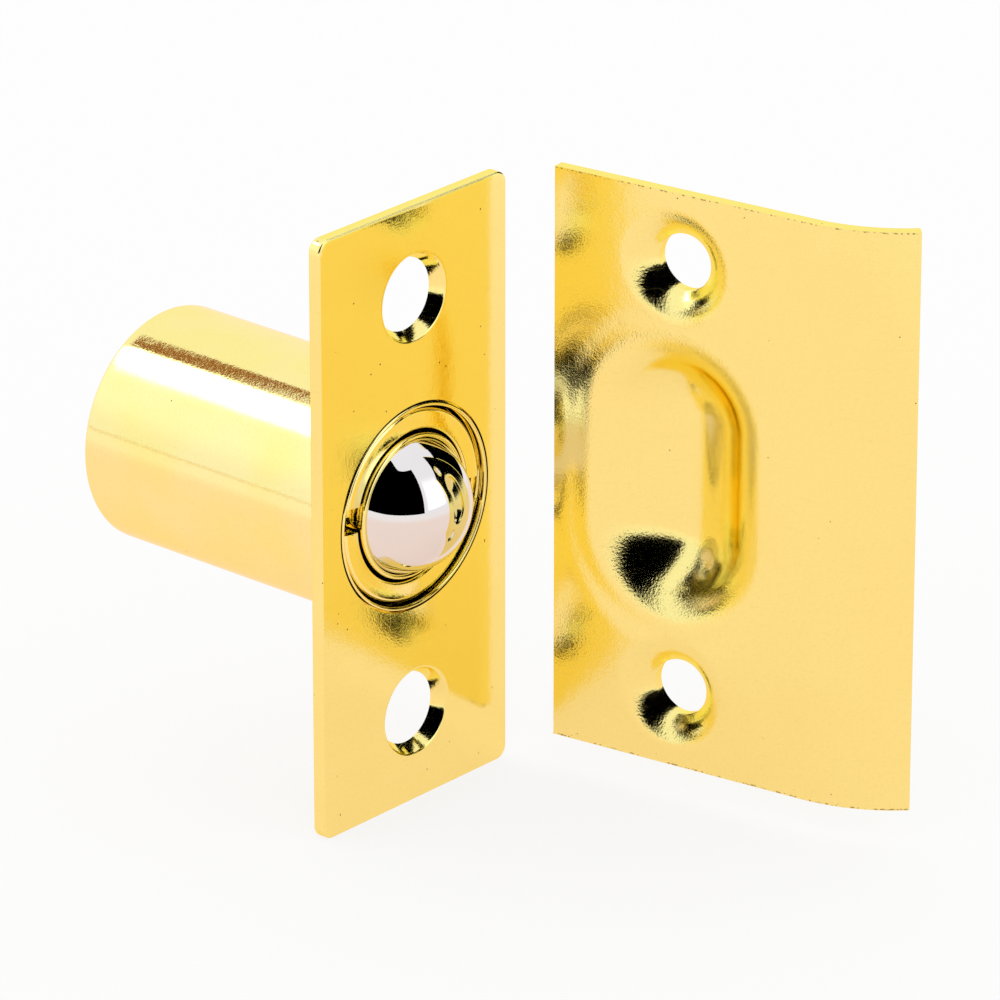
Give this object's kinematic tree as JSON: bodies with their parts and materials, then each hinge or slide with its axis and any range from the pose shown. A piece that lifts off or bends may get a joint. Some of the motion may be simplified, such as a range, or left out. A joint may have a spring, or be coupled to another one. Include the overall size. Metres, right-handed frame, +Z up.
{
  "type": "ball catch",
  "caption": "Adjustable door ball catch: a sprung ball in a tubular case behind a narrow faceplate, with its dished, curved-lip strike plate beside it.",
  "frame": {"origin": "on the ball's axis in the plane of the faceplate's front, which lies flush with the door edge", "axes": "+X out of the door edge along the ball's axis, +Y across the faceplate towards the strike plate, +Z up"},
  "size_m": [0.0693, 0.0354, 0.0581],
  "materials": {
    "brass_plate": "bright brass plate on steel, with fine grain",
    "polished_steel": "mirror polished",
    "spring_steel": "plain drawn wire and stamped disc"
  },
  "bodies": {
    "case": {"case": "brass_plate", "faceplate": "brass_plate", "strike_plate": "brass_plate"},
    "cartridge": {"ball_cage": "brass_plate", "spring": "spring_steel", "spring_seat": "spring_steel"},
    "adjusting_ring": {"adjusting_ring": "brass_plate"},
    "ball": {"ball": "polished_steel"}
  },
  "joints": [
    {"name": "cartridge_advance", "type": "slide", "parent": "case", "child": "cartridge", "axis": [1, 0, 0], "range_m": [-0.0025, 0.00031]},
    {"name": "ring_turn", "type": "hinge", "parent": "cartridge", "child": "adjusting_ring", "pos_m": [0, 0, 0], "axis": [1, 0, 0], "range_deg": [-720, 90]},
    {"name": "ball_press", "type": "slide", "parent": "cartridge", "child": "ball", "axis": [-1, 0, 0], "range_m": [0, 0.0048], "stiffness_N_per_m": 3000, "springref_m": -0.004, "deforming": ["spring"]}
  ],
  "couplings": [
    {"joint": "ring_turn", "follows": "cartridge_advance", "rad_per_m": 5026.5}
  ]
}
